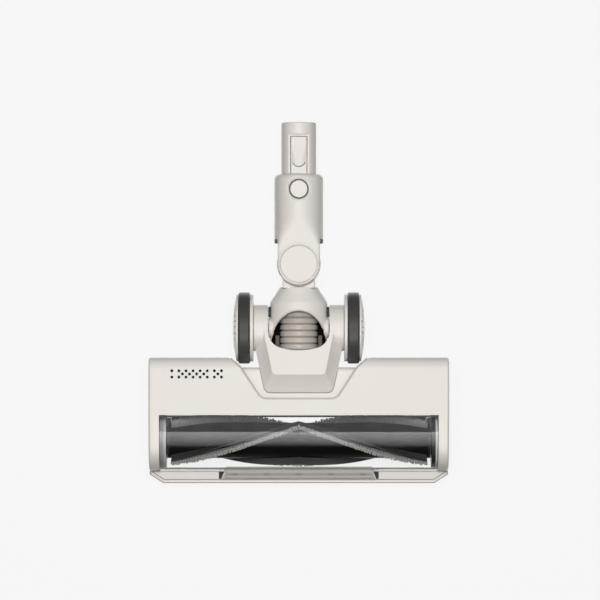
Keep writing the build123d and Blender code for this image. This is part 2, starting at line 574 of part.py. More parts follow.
# Hose: bellows between the duct and the elbow, held by a collar at either end
ribs = [(-33, 13.85), (-24.6, 13.85)]
count = 8
for k in range(count):
    y = -24.0 + HOSE_PITCH * k
    ribs += [(y, 13.6), (y + 1.7, HOSE_RADIUS), (y + 2.7, HOSE_RADIUS - 0.5), (y + 3.7, HOSE_RADIUS)]
ribs += [(-24.0 + HOSE_PITCH * count, 12.5), (26.0, 12.5)]
wall = [(y, r - 1.1) for y, r in reversed(ribs)]
hose_plane = Plane(origin=(0, 0, AXLE_Z), x_dir=(0, 1, 0), z_dir=(1, 0, 0))
bellows = revolve(hose_plane * polygon(ribs + wall), Axis((0, 0, AXLE_Z), (0, 1, 0)), 360)
nodes["bellows_hose"] = bellows
collar = rod_y(-33, -21, 16.5, 0, AXLE_Z) - rod_y(-34, -26, DUCT_RADIUS, 0, AXLE_Z)
collar -= rod_y(-27, -20, 16.2, 0, AXLE_Z)
finger = block(16.25, 19.4, -24, -6.3, AXLE_Z - 7, AXLE_Z - 2.5)
finger += block(16.25, 19.4, -28, -22, AXLE_Z - 7, AXLE_Z)
finger -= rod_y(-40, 0, 16.45, 0, AXLE_Z)
nodes["hose_collar_front"] = collar + finger + other_side(finger)
rear_collar = hood_flare & block(-40, 40, 23.5, 26, -10, 80)
nodes["hose_collar_rear"] = rear_collar - rod_y(20, 30, 12.5, 0, AXLE_Z)

# Neck: sleeve and knuckle in two shells, with the swivel cap on the front cheek
sleeve = rod_y(SLEEVE_START, SLEEVE_END, SLEEVE_RADIUS, 0, AXLE_Z)
sleeve = fillet(sleeve.edges().filter_by(GeomType.CIRCLE).sort_by(Axis.Y)[-1:], 4.5)
neck = sleeve + loft([
    rounded(70, 2 * KNUCKLE_HALF, 40.8, 3.0, AXLE_Z),
    rounded(77, 36.0, 40.8, 7.0, AXLE_Z),
    rounded(84, 37.4, 40.8, 13.0, AXLE_Z),
    rounded(92, 39.6, 40.7, 18.6, AXLE_Z),
    rounded(98, 40.7, 40.7, 20.3, AXLE_Z),
])
neck += rod_z(AXLE_Z - 20.4, AXLE_Z - 13, KNUCKLE_HALF, 0, SWIVEL_Y)
neck += Pos(0, SWIVEL_Y, AXLE_Z + 16.2) * Cone(CHEEK_RADIUS, KNUCKLE_HALF, 8.4)
neck += block(-KNUCKLE_HALF, KNUCKLE_HALF, SWIVEL_Y, 70, AXLE_Z - 20.4, AXLE_Z + 20.4)
neck += rod_z(AXLE_Z + 20, AXLE_Z + 20.9, DISC_RADIUS, 0, SWIVEL_Y)
neck -= rod_z(AXLE_Z + 18.9, 80, 15.35, 0, SWIVEL_Y)
neck -= block(-30, 30, 20, 66, AXLE_Z - 13.2, AXLE_Z + 12.8)
neck -= rod_z(AXLE_Z - 13.2, AXLE_Z + 12.8, DRUM_RADIUS + 0.5, 0, SWIVEL_Y)
neck -= rod_y(60, SPIGOT_START + 1, 11.5, 0, AXLE_Z)
neck -= rod_y(SPIGOT_START, 140, SEAT_RADIUS, 0, AXLE_Z)
neck -= rod_z(AXLE_Z - 17.5, AXLE_Z + 17.5, PIN_RADIUS, 0, SWIVEL_Y)
neck -= rod_z(AXLE_Z + 10, 80, BUTTON_RADIUS + 0.15, 0, BUTTON_Y)
neck -= rod_z(AXLE_Z + 15.4, 80, BUTTON_WELL, 0, BUTTON_Y)
NECK_SCREWS = [(16.2, 84), (-16.2, 84)]
for x, y in NECK_SCREWS:
    neck -= rod_z(AXLE_Z - 6.5, AXLE_Z + 6.5, 1.25, x, y)
    neck -= rod_z(0, AXLE_Z - 6.5, 2.4, x, y)
plug = rod_x(KNUCKLE_HALF - 1.6, SLEEVE_RADIUS - 0.1, PLUG_RADIUS, PLUG_Y, AXLE_Z)
plug = fillet(plug.edges().filter_by(GeomType.CIRCLE).sort_by(Axis.X)[-1:], 1.2)
plugs = plug + other_side(plug)
neck -= plugs
nodes["neck_plugs"] = plugs
nodes["neck_front"] = neck & UPPER
nodes["neck_rear"] = neck & LOWER
screws = [
    rod_z(AXLE_Z - 8.3, AXLE_Z - 6.5, 2.4, x, y) + rod_z(AXLE_Z - 7, AXLE_Z + 6.5, 1.25, x, y)
    for x, y in NECK_SCREWS
]
nodes["neck_screws"] = Compound(screws)
nodes["swivel_cap"] = rod_z(AXLE_Z + 18.9, AXLE_Z + 20.8, 15.2, 0, SWIVEL_Y)
nodes["swivel_pin_front"] = rod_z(AXLE_Z + 9, AXLE_Z + 17.5, PIN_RADIUS, 0, SWIVEL_Y)
nodes["swivel_pin_rear"] = rod_z(AXLE_Z - 17.5, AXLE_Z - 9, PIN_RADIUS, 0, SWIVEL_Y)

# Spigot: tube with the air way below and the bay of the latch above
land_end = SLOT_END + SLOT_LAND - 7.2
land_z = AXLE_Z + (SPIGOT_RADIUS ** 2 - SLOT_LAND ** 2) ** 0.5
spigot = rod_y(land_end, SPIGOT_END, TIP_RADIUS, 0, AXLE_Z)
spigot = fillet(spigot.edges().filter_by(GeomType.CIRCLE).sort_by(Axis.Y)[-1:], 0.9)
spigot += rod_y(SLEEVE_END, land_end, SPIGOT_RADIUS, 0, AXLE_Z)
spigot += rod_y(SPIGOT_START, SLEEVE_END, SEAT_RADIUS, 0, AXLE_Z)
spigot -= block(-SLOT_LAND, SLOT_LAND, SLEEVE_END, land_end, land_z, 80)
air_way = rod_y(SPIGOT_START - 1, SPIGOT_END + 1, 12.4, 0, AXLE_Z)
spigot -= air_way - block(-20, 20, 0, 200, AXLE_Z + 4.8, 80)
spigot -= block(-7.2, 7.2, 100, SLOT_END, AXLE_Z + 6.2, 80)
spigot -= rod_x(-LATCH_PIN - 0.1, LATCH_PIN + 0.1, 1.2, LATCH_Y, LATCH_Z)
spigot -= rod_z(AXLE_Z + 7, 80, BUTTON_RADIUS + 0.15, 0, BUTTON_Y)
nodes["spigot"] = spigot
contact_block = block(-5, 5, 150, 168, AXLE_Z - 13, AXLE_Z - 7) & rod_y(150, 168, 12.4, 0, AXLE_Z)
pins = [rod_y(155, 170, 0.8, x, AXLE_Z - 9) for x in (-2.6, 2.6)]
nodes["contact_block"] = contact_block - pins[0] - pins[1]
nodes["contact_pins"] = Compound(pins)

# Latch: lever with the catch, its pin and spring, and the release button
lever = block(-6.6, 6.6, 108, 159.4, AXLE_Z + 10.5, AXLE_Z + 12.9)
lever = lever & rod_y(100, 165, SEAT_RADIUS - 0.2, 0, AXLE_Z)
lever += rod_x(-6.5, 6.5, 2.5, LATCH_Y, LATCH_Z)
ramp = [(152, 12.5), (152, 12.9), (134, 14.6), (134, 12.5)]
catch = across(polygon([(y, AXLE_Z + z) for y, z in ramp]), -6, 6)
catch = catch & upright(Pos(0, 140) * Circle(5.3) + Pos(0, 146) * Rectangle(10.6, 12), 0, 80)
lever += catch & rod_y(130, 155, SEAT_RADIUS - 0.2, 0, AXLE_Z)
nodes["latch_lever"] = lever - rod_x(-8, 8, 1.2 + RUNNING, LATCH_Y, LATCH_Z)
nodes["latch_pin"] = rod_x(-LATCH_PIN, LATCH_PIN, 1.2, LATCH_Y, LATCH_Z)
button = rod_z(AXLE_Z + 14.0, AXLE_Z + 20.9, BUTTON_RADIUS, 0, BUTTON_Y)
button = fillet(button.edges().filter_by(GeomType.CIRCLE).sort_by(Axis.Z)[-1:], 0.6)
button += rod_x(-5, 5, 1.2, BUTTON_Y, AXLE_Z + 14.15)
nodes["release_button"] = button
coil = Helix(pitch=1.15, height=3.6, radius=2.3)
wire = Plane(origin=coil @ 0, z_dir=coil % 0) * Circle(0.3)
spring = Pos(0, 128, AXLE_Z + 6.55) * sweep(wire, path=coil)
nodes["latch_spring"] = spring

os.makedirs("parts", exist_ok=True)
for name, shape in nodes.items():
    export_step(Pos(0, SHIFT_Y, 0) * shape, f"parts/{name}.step")
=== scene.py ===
"""Looks of a motorised floor brush head for a stick cleaner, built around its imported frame."""

import json

import bmesh
import bpy
import numpy as np
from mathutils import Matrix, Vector


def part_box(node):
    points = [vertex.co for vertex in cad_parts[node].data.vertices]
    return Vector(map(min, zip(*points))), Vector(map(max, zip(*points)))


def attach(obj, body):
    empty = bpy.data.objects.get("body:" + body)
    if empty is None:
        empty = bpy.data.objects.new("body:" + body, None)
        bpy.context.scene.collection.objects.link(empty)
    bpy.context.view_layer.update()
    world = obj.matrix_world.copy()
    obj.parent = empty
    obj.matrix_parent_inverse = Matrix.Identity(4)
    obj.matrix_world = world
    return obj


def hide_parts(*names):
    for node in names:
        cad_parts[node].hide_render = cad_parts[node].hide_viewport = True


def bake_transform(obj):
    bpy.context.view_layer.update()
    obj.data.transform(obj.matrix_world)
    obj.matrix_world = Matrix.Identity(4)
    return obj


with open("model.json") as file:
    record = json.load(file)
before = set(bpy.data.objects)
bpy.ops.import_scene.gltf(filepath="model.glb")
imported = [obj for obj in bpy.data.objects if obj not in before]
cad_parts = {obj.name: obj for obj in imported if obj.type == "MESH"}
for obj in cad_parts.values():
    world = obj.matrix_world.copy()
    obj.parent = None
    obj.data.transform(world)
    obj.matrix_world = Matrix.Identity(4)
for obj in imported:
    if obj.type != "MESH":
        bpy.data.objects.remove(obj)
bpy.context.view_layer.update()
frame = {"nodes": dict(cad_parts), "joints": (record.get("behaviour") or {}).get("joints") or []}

# Base housing
# The tray under the head, injection moulded in dark ABS with a fine eroded grain.
# It carries the roller, the motor and the board, and is screwed to the cover from below.
CARD_WHITE = 0.75
GRAIN_DEPTH = 0.00004


class Wire:
    """A socket of a node tree. Arithmetic on it adds Math nodes, and add() makes any other node."""

    def __init__(self, tree, socket=None):
        self.tree = tree
        self.socket = socket

    def add(self, kind, settings=None, inputs=None, out=0):
        """Makes a node, sets it, then fills or links its inputs. Gives one of its outputs.

        The stops of a ramp are pairs of a position and a grey.
        """
        node = self.tree.nodes.new(kind)
        for name, value in (settings or {}).items():
            if name == "stops":
                elements = node.color_ramp.elements
                for position, grey in value[2:]:
                    elements.new(position)
                for element, (position, grey) in zip(elements, value):
                    element.position = position
                    element.color = (grey, grey, grey, 1)
            else:
                setattr(node, name, value)
        for key, value in (inputs or {}).items():
            if isinstance(value, Wire):
                self.tree.links.new(value.socket, node.inputs[key])
            else:
                node.inputs[key].default_value = value
        return Wire(self.tree, node.outputs[out] if len(node.outputs) else None)

    def maths(self, operation, *values):
        return self.add("ShaderNodeMath", {"operation": operation}, dict(enumerate(values)))

    def vectors(self, operation, *values, out="Vector"):
        inputs = dict(enumerate(values))
        return self.add("ShaderNodeVectorMath", {"operation": operation}, inputs, out)

    def between(self, none, full):
        """A colour: the first where this share is 0, the second where it is 1."""
        return self.add("ShaderNodeMix", {"data_type": "RGBA"}, {0: self, 6: none, 7: full}, out=2)

    def part(self, number):
        """One coordinate of a place: 0, 1 or 2 for x, y or z."""
        return self.add("ShaderNodeSeparateXYZ", None, {"Vector": self}, out=number)

    def clamp(self):
        return self.add("ShaderNodeClamp", None, {"Value": self})

    def at_least(self, low):
        return self.maths("MAXIMUM", self, low)

    def __abs__(self):
        return self.maths("ABSOLUTE", self)

    def __add__(self, other):
        return self.maths("ADD", self, other)

    def __radd__(self, other):
        return self.maths("ADD", other, self)

    def __sub__(self, other):
        return self.maths("SUBTRACT", self, other)

    def __rsub__(self, other):
        return self.maths("SUBTRACT", other, self)

    def __mul__(self, other):
        return self.maths("MULTIPLY", self, other)

    def __rmul__(self, other):
        return self.maths("MULTIPLY", other, self)

    def __truediv__(self, other):
        return self.maths("DIVIDE", self, other)

    def __pow__(self, other):
        return self.maths("POWER", self, other)

    def __gt__(self, other):
        return self.maths("GREATER_THAN", self, other)

    def __lt__(self, other):
        return self.maths("LESS_THAN", self, other)


def paint(red, green, blue):
    """A colour of the paint card, 0 to 255, as the linear colour that a shader takes.

    The card's white gives back only a share of the light.
    """
    share = np.array([red, green, blue]) / 255
    linear = np.where(share <= 0.04045, share / 12.92, ((share + 0.055) / 1.055) ** 2.4)
    return (*(CARD_WHITE * linear).tolist(), 1.0)


def new_material(name):
    """An empty material, the start of its node tree and the place on the piece in metres."""
    material = bpy.data.materials.new(name)
    material.use_nodes = True
    material.node_tree.nodes.clear()
    start = Wire(material.node_tree)
    return material, start, start.add("ShaderNodeTexCoord", out="Object")


def noise(place, scale, detail):
    """Soft noise between 0 and 1 with that many patches to the metre."""
    inputs = {"Vector": place, "Scale": scale, "Detail": detail}
    return place.add("ShaderNodeTexNoise", None, inputs)


def bump(height, strength, depth, normal=None):
    """The normal of a skin that rises by the depth in metres where the height is 1."""
    inputs = {"Strength": strength, "Distance": depth, "Height": height}
    if normal is not None:
        inputs["Normal"] = normal
    return height.add("ShaderNodeBump", None, inputs)


def soft_edges(start, radius):
    """The normal of a skin whose edges are rounded by the radius."""
    return start.add("ShaderNodeBevel", {"samples": 4}, {"Radius": radius})


def show(shader):
    """Makes the shader the surface of its material."""
    shader.add("ShaderNodeOutputMaterial", None, {"Surface": shader})


def surface(start, inputs):
    """Makes a body with those inputs the surface of its material."""
    show(start.add("ShaderNodeBsdfPrincipled", None, inputs))


def moulded_plastic(
    name, light, dark, roughness, metallic=0.0, grain=0.12, edge=0.0006, lining=None
):
    """Moulded plastic: clouds between two near colours, a fine grain, and rounded edges with a
    painted highlight.

    An edge gets a painted highlight, paler and glossier, as far as its rounded normal leaves the true
    one. A shade mask, if given, finds where on the piece the inside is painted black and dull, as
    shade.
    """
    material, start, place = new_material(name)
    clouds = noise(place, 28.0, 3.0)
    speckle = noise(place, 1500.0, 2.0)
    rounded = soft_edges(start, edge)
    true = start.add("ShaderNodeNewGeometry", out="Normal")
    match = start.vectors("DOT_PRODUCT", rounded, true, out="Value")
    # Painted highlight: edges are painted paler and glossier.
    edge_highlight = ((1 - match) * 2.5).clamp()
    colour = (edge_highlight * 0.5).between(clouds.between(dark, light), light)
    # Painted shade: where the mask says, the inside is painted black and dull.
    if lining is not None:
        black = lining(place)
        colour = black.between(colour, paint(24, 23, 23))
        metallic = metallic * (1 - black)
    surface(
        start,
        {
            "Base Color": colour,
            "Roughness": roughness + 0.10 * (speckle - 0.5) - 0.06 * edge_highlight,
            "Metallic": metallic,
            "Normal": bump(noise(place, 4200.0, 1.0), grain, GRAIN_DEPTH, rounded),
        },
    )
    return material


def dress(material, *names):
    """Gives nodes of the frame that material."""
    for name in names:
        frame["nodes"][name].material_slots[0].material = material


tray_plastic = moulded_plastic(
    "tray_plastic", paint(72, 72, 74), paint(60, 60, 62), 0.48, grain=0.25
)
dress(tray_plastic, "base_housing")

# Sole skids and seal strip
# Pads of short-pile felt glued under the tray, so that the sole slides and the rear edge seals.
# The pile lies one way, with pale fibres among the dark ones.
PILE_HAIRS = (900.0, 5200.0, 5200.0)
PILE_DEPTH = 0.0002


def drawn_noise(place, hairs, detail):
    """Noise with its own number of patches to the metre in each direction, drawn out into hairs."""
    drawn = place.add("ShaderNodeMapping", None, {"Vector": place, "Scale": hairs})
    return noise(drawn, 1.0, detail)


def felt(name, light, dark):
    """Felt: fibres as noise drawn out along one direction, lumpy, and fully matt."""
    material, start, place = new_material(name)
    fibres = drawn_noise(place, PILE_HAIRS, 3.0)
    lumps = noise(place, 700.0, 2.0)
    surface(
        start,
        {
            "Base Color": fibres.between(dark, light),
            "Roughness": 0.95,
            "Sheen Weight": 0.3,
            "Normal": bump(fibres + lumps, 0.6, PILE_DEPTH),
        },
    )
    return material


sole_felt = felt("sole_felt", paint(74, 74, 76), paint(38, 38, 40))
dress(sole_felt, "skid_left", "skid_right", "seal_strip")

# Screws, pins and bearings
# Zinc-plated and ground steel: cross-head screws, the axle, latch and swivel pins, the roller's ball
# bearings, and the motor shaft with its pulley. They are pressed or screwed into the shells.
STEEL_HAIRS = (500.0, 4000.0, 4000.0)
HAIR_DEPTH = 0.00003


def metal(name, light, dark, roughness, hairs):
    """Bright metal with hair lines, along the direction that has the fewest patches, and stains."""
    material, start, place = new_material(name)
    lines = drawn_noise(place, hairs, 3.0)
    stains = noise(place, 220.0, 3.0)
    surface(
        start,
        {
            "Base Color": lines.between(dark, light),
            "Metallic": 1.0,
            "Roughness": roughness + 0.15 * (lines - 0.5) + 0.12 * (stains - 0.5),
            "Normal": bump(lines, 0.15, HAIR_DEPTH),
        },
    )
    return material


plated_steel = metal(
    "plated_steel", paint(205, 205, 207), paint(168, 168, 172), 0.32, STEEL_HAIRS
)
dress(plated_steel, "base_screws", "elbow_screws", "neck_screws", "axle_pin_left", "axle_pin_right")
dress(plated_steel, "roller_bearing_left", "roller_bearing_right", "motor_pulley", "latch_pin")
dress(plated_steel, "swivel_pin_front", "swivel_pin_rear")

# Roller core and its caps
# A tube of black ABS, polished, with six helical grooves for the strips and a pressed-in cap at
# either end. Dust leaves fine scuffs that run round the tube.
SCUFF_HAIRS = (2600.0, 120.0, 120.0)


def polished_plastic(name, colour, scuffed, roughness):
    """Polished plastic: one deep colour, dulled by hair scuffs that run round the X axis."""
    material, start, place = new_material(name)
    scuffs = ((drawn_noise(place, SCUFF_HAIRS, 3.0) - 0.58) * 5.0).clamp()
    dusty = scuffs * noise(place, 130.0, 4.0)
    surface(
        start,
        {
            "Base Color": (dusty * 0.5).between(colour, scuffed),
            "Roughness": roughness + 0.18 * dusty,
            "Specular IOR Level": 0.2,
        },
    )
    return material


dress(polished_plastic("core_gloss", paint(16, 16, 17), paint(60, 58, 56), 0.30), "roller_core")
black_plastic = moulded_plastic(
    "black_plastic", paint(44, 44, 45), paint(30, 30, 31), 0.42, grain=0.3
)
dress(black_plastic, "roller_cap_left", "roller_cap_right", "roller_pulley")

# Bristle strips
# Three chevrons of nylon tufts, each tuft a flared bundle with an uneven tip, pressed into a groove
# in two rows. They are pale grey, and each one replaces the plain strip of the frame.
pivot = {joint["name"]: joint.get("pos_m") for joint in frame["joints"]}
TUFT_PITCH = 0.00225
TUFT_ROOT = 0.0136
TUFT_TIP = 0.0223
TUFT_HALF = (0.00092, 0.00112)
TUFT_HEIGHTS = np.array([0.0, 0.0, 0.45, 0.78, 1.0, 0.97])
TUFT_WIDTHS = np.array([0.0, 0.62, 0.78, 0.95, 1.05, 0.0])
TUFT_FRAY = np.array([0.0, 0.0, 0.0, 0.2, 1.0, 0.0])
TUFT_COLUMNS = 8
FRAY_LENGTH = 0.0005
SHORT_LENGTH = 0.0016
LEAN_WIDTH = 0.0006
ROW_OFFSET = 0.00090
STRIP_HALF = 0.1065
STRIP_MARGIN = 0.0006
STRIP_TURN = np.radians(104.0)
STRIP_START = {"1": 31.0, "2": 151.0, "3": 271.0}
NYLON_HAIRS = (5200.0, 900.0, 900.0)
NYLON_DARK = 0.0150
NYLON_RISE = 0.0070


def skin(name, points, close_rows=False):
    """A mesh over grids of points, shaped (grids, rows, columns, 3).

    Columns close on themselves, and rows do if asked. A row of equal points becomes a pole.
    """
    grids, rows, columns = points.shape[:3]
    index = np.arange(grids * rows * columns).reshape(grids, rows, columns)
    last = rows if close_rows else rows - 1
    here = index[:, :last]
    below = np.roll(index, -1, axis=1)[:, :last]
    corners = [here, np.roll(here, -1, axis=2), np.roll(below, -1, axis=2), below]
    faces = np.stack(corners, axis=-1)
    mesh = bpy.data.meshes.new(name)
    mesh.from_pydata(points.reshape(-1, 3).tolist(), [], faces.reshape(-1, 4).tolist())
    welded = bmesh.new()
    welded.from_mesh(mesh)
    bmesh.ops.remove_doubles(welded, verts=welded.verts, dist=1e-8)
    welded.to_mesh(mesh)
    welded.free()
    piece = bpy.data.objects.new(name, mesh)
    bpy.context.scene.collection.objects.link(piece)
    return piece


def tuft_row(name, start, rng):
    """Tufts along a chevron.

    A tuft stands at x, and its angle round the roller falls from the start by the turn times |x|
    over the half length. Round it, a column at angle a lies half a width times cos a along x and
    sin a along the side. The half width grows from root to tip. Each tuft, and each point of its
    tip, is shorter by its own small random length, and each tuft leans a little along x.
    """
    axis = np.array(pivot["roller_spin"])
    x = np.arange(-STRIP_HALF + STRIP_MARGIN, STRIP_HALF, TUFT_PITCH)
    row = np.repeat([-ROW_OFFSET, ROW_OFFSET], len(x))[:, None, None]
    x = np.concatenate([x, x + TUFT_PITCH / 2])[:, None, None]
    high = TUFT_HEIGHTS[:, None]
    wide = TUFT_WIDTHS[:, None]
    column = np.linspace(0, 2 * np.pi, TUFT_COLUMNS, endpoint=False)
    ragged = rng.random((len(x), 1, TUFT_COLUMNS)) * TUFT_FRAY[:, None]
    lean = (rng.random((len(x), 1, 1)) - 0.5) * LEAN_WIDTH
    short = rng.random((len(x), 1, 1)) * high
    reach = TUFT_ROOT + (TUFT_TIP - TUFT_ROOT) * high
    reach = reach - FRAY_LENGTH * ragged - SHORT_LENGTH * short
    along = TUFT_HALF[0] * wide * np.cos(column) + lean * high
    aside = TUFT_HALF[1] * wide * np.sin(column) + row * (0.7 + 0.3 * high)
    turn = np.pi / 2 - np.radians(start) + STRIP_TURN * np.abs(x) / STRIP_HALF
    points = np.stack(
        [
            x + along,
            axis[1] + reach * np.cos(turn) - aside * np.sin(turn),
            axis[2] + reach * np.sin(turn) + aside * np.cos(turn),
        ],
        axis=-1,
    )
    return skin(name, points[:, :, ::-1])


def distance_from(place, middle, weights):
    """The distance of the place from the middle, with each direction weighed."""
    offset = place.vectors("SUBTRACT", place, middle)
    return place.vectors("LENGTH", place.vectors("MULTIPLY", offset, weights), out="Value")


def nylon(name, light, dark):
    """Nylon bundles: fine streaks along the fibres, and darker to the root, where it is shady."""
    material, start, place = new_material(name)
    reach = distance_from(place, pivot["roller_spin"], (0, 1, 1))
    fibres = drawn_noise(place, NYLON_HAIRS, 2.0)
    height = ((reach - NYLON_DARK) / NYLON_RISE).clamp()
    surface(
        start,
        {
            "Base Color": (height * 0.6 + fibres * 0.4).between(dark, light),
            "Roughness": 0.55 + 0.2 * fibres,
            "Sheen Weight": 0.2,
        },
    )
    return material


bristle_nylon = nylon("bristle_nylon", paint(184, 181, 176), paint(96, 94, 92))
rng = np.random.default_rng(7)
for number, start_angle in STRIP_START.items():
    strip = tuft_row(f"bristles_{number}", start_angle, rng)
    strip.data.materials.append(bristle_nylon)
    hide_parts(f"bristle_strip_{number}")
    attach(strip, "roller")

# Fins and drive belt
# Soft wiper fins of dark rubber beside the bristles, and the toothless belt from the motor to the
# roller. Both are extruded rubber with a dull bloom on it.
RUBBER_EDGE = 0.0004
RUBBER_DEPTH = 0.00006


def rubber(name, light, dark, roughness, sandy=0.2):
    """Rubber: a dull bloom in patches, a fine sandy skin and soft edges."""
    material, start, place = new_material(name)
    bloom = noise(place, 60.0, 4.0)
    sand = noise(place, 2600.0, 2.0)
    surface(
        start,
        {
            "Base Color": bloom.between(dark, light),
            "Roughness": roughness + 0.12 * (bloom - 0.5),
            "Normal": bump(sand, sandy, RUBBER_DEPTH, soft_edges(start, RUBBER_EDGE)),
        },
    )
    return material


fin_rubber = rubber("fin_rubber", paint(62, 61, 61), paint(46, 45, 45), 0.5)
dress(fin_rubber, "fin_strip_1", "fin_strip_2", "fin_strip_3", "drive_belt")

# Bearing blocks
# The two ends of the roller chamber, moulded with steps, which hold the bearings.
# Their steps are painted on as bands of grey for their light and shade: the one on the side of the
# belt is painted silver, the other is black with a painted highlight on its outer step.
BLOCK_INNER = 0.1106
BLOCK_OUTER = 0.1170
# Painted light and shade of the steps: greys from the roller's side outwards.
BELT_SIDE_STEP_SHADES = [
    (0.0, 0.20),
    (0.05, 0.36),
    (0.30, 0.32),
    (0.42, 0.20),
    (0.72, 0.21),
    (0.80, 0.12),
    (1.0, 0.05),
]
FREE_SIDE_STEP_SHADES = [
    (0.0, 0.01),
    (0.50, 0.012),
    (0.58, 0.45),
    (0.74, 0.48),
    (0.82, 0.02),
    (1.0, 0.015),
]


def painted_step_block(name, stops):
    """Painted steps: the stops give the grey of their light and shade from the roller's side, 0, to
    the outer one, 1.
    """
    material, start, place = new_material(name)
    outward = (abs(place.part(0)) - BLOCK_INNER) / (BLOCK_OUTER - BLOCK_INNER)
    grey = start.add("ShaderNodeValToRGB", {"stops": stops}, {"Fac": outward})
    surface(start, {"Base Color": grey, "Roughness": 0.42 + 0.14 * noise(place, 900.0, 2.0)})
    return material


dress(painted_step_block("silver_block", BELT_SIDE_STEP_SHADES), "bearing_block_left")
dress(painted_step_block("black_block", FREE_SIDE_STEP_SHADES), "bearing_block_right")

# Motor and boards
# The can motor has a deep-drawn aluminium case. The control board and the strip of the light are
# green glass-fibre boards with copper tracks under the lacquer.
CASE_HAIRS = (300.0, 2600.0, 2600.0)
motor_case = metal("motor_case", paint(176, 176, 178), paint(140, 140, 143), 0.38, CASE_HAIRS)
dress(motor_case, "brush_motor")


def circuit_board(name):
    """A board: tracks as a brick pattern under green lacquer, paler than the ground between."""
    material, start, place = new_material(name)
    tracks = start.add(
        "ShaderNodeTexBrick",
        {"offset": 0.35},
        {
            "Vector": place,
            "Color1": paint(34, 96, 58),
            "Color2": paint(28, 84, 50),
            "Mortar": paint(62, 132, 80),
            "Scale": 160.0,
            "Mortar Size": 0.05,
        },
    )
    weave = noise(place, 1800.0, 1.0)
    surface(start, {"Base Color": tracks, "Roughness": 0.28 + 0.2 * weave, "Coat Weight": 0.5})
    return material


dress(circuit_board("board_lacquer"), "control_board", "light_board")

# Suction duct and hose collars
# Black ducting between the chamber and the hose: a blow-moulded duct and two collars that grip the
# hose. The front collar is of a paler grade, with two fingers beside the hose.
collar_plastic = moulded_plastic(
    "collar_plastic", paint(112, 108, 106), paint(64, 61, 61), 0.45, grain=0.3
)
dress(black_plastic, "suction_duct", "hose_collar_rear")
dress(collar_plastic, "hose_collar_front")

# Bellows hose
# A corrugated hose of soft beige rubber with a silky coat, moulded with double ribs, from the duct to
# the elbow. On the head its front end stays put and its rear end turns with the elbow; here it is one
# fixed piece that does not bend.
HOSE_PITCH = 0.0054
HOSE_RIBS = 8
HOSE_FIRST = -0.0240
HOSE_PEAK = 0.0159
HOSE_VALLEY = 0.0136
HOSE_WALL = 0.0011
FRONT_SLEEVE = (-0.0330, -0.0247)
FRONT_SLEEVE_RADIUS = 0.01385
REAR_SLEEVE = (0.0196, 0.0260)
REAR_SLEEVE_RADIUS = 0.0125
GROOVE_DEPTH = 0.24
GROOVE_HALF = 0.11
STEPS_PER_RIB = 26
STEPS_ROUND = 72
# Painted shade: the hose is darker in its valleys and towards its rear, under the hood.
VALLEY_SHADE_RADIUS = 0.0147
VALLEY_SHADE_DEPTH = 0.0011
HOOD_SHADE_START = 0.002
HOOD_SHADE_RUN = 0.018
axle_y, axle_z = pivot["neck_pitch"][1:]


def corrugated_hose(name):
    """A hose turned about its axis.

    Along it, each pitch is one bulge, 1 - |2p - 1|^3.4 at share p of the pitch, with a shallow groove
    in its middle, exp(-((p - 1/2) / g)^2) for the half width g. Plain sleeves stand at both ends, and
    the profile returns inside by a wall. The painted shade of a point is the larger of its depth
    below the ribs and its way from the axle to the rear end, under the hood.
    """
    last = HOSE_FIRST + HOSE_RIBS * HOSE_PITCH
    along = np.linspace(HOSE_FIRST, last, HOSE_RIBS * STEPS_PER_RIB + 1)
    share = np.mod((along - HOSE_FIRST) / HOSE_PITCH, 1.0)
    bulge = 1 - np.abs(2 * share - 1) ** 3.4
    groove = GROOVE_DEPTH * np.exp(-(((share - 0.5) / GROOVE_HALF) ** 2))
    reach = HOSE_VALLEY + (HOSE_PEAK - HOSE_VALLEY) * (bulge - groove)
    along = np.concatenate([FRONT_SLEEVE, along, REAR_SLEEVE])
    reach = np.concatenate([[FRONT_SLEEVE_RADIUS] * 2, reach, [REAR_SLEEVE_RADIUS] * 2])
    along = np.concatenate([along, along[::-1]])
    reach = np.concatenate([reach, reach[::-1] - HOSE_WALL])
    angle = np.linspace(0, 2 * np.pi, STEPS_ROUND, endpoint=False)
    points = np.stack(
        [
            reach[:, None] * np.cos(angle),
            axle_y + np.repeat(along[:, None], STEPS_ROUND, axis=1),
            axle_z + reach[:, None] * np.sin(angle),
        ],
        axis=-1,
    )
    piece = skin(name, points[None, :, ::-1], close_rows=True)
    # Painted shade: the larger of the depth into a valley and the way back under the hood.
    valley = np.clip((VALLEY_SHADE_RADIUS - reach) / VALLEY_SHADE_DEPTH, 0, 1)
    rear = np.clip((along - HOOD_SHADE_START) / HOOD_SHADE_RUN, 0, 1)
    grime = np.repeat(np.maximum(valley, rear), STEPS_ROUND)
    piece.data.attributes.new("grime", "FLOAT", "POINT").data.foreach_set("value", grime)
    return piece


def smooth(piece):
    """Shades the faces of a piece as one round skin."""
    piece.data.polygons.foreach_set("use_smooth", np.ones(len(piece.data.polygons), bool))


def coated_rubber(name, light, dark, shaded_colour):
    """Rubber with a silky coat: clouds between two near colours, and painted shade where the mesh
    says.
    """
    material, start, place = new_material(name)
    clouds = noise(place, 90.0, 3.0)
    sand = noise(place, 2600.0, 2.0)
    # Painted shade, read from the mesh, darkens and dulls the rubber.
    grime = start.add("ShaderNodeAttribute", {"attribute_name": "grime"}, out="Fac")
    surface(
        start,
        {
            "Base Color": (grime * 0.85).between(clouds.between(dark, light), shaded_colour),
            "Roughness": 0.30 + 0.08 * clouds + 0.15 * grime,
            "Metallic": 0.30 - 0.25 * grime,
            "Normal": bump(sand, 0.08, RUBBER_DEPTH),
        },
    )
    return material


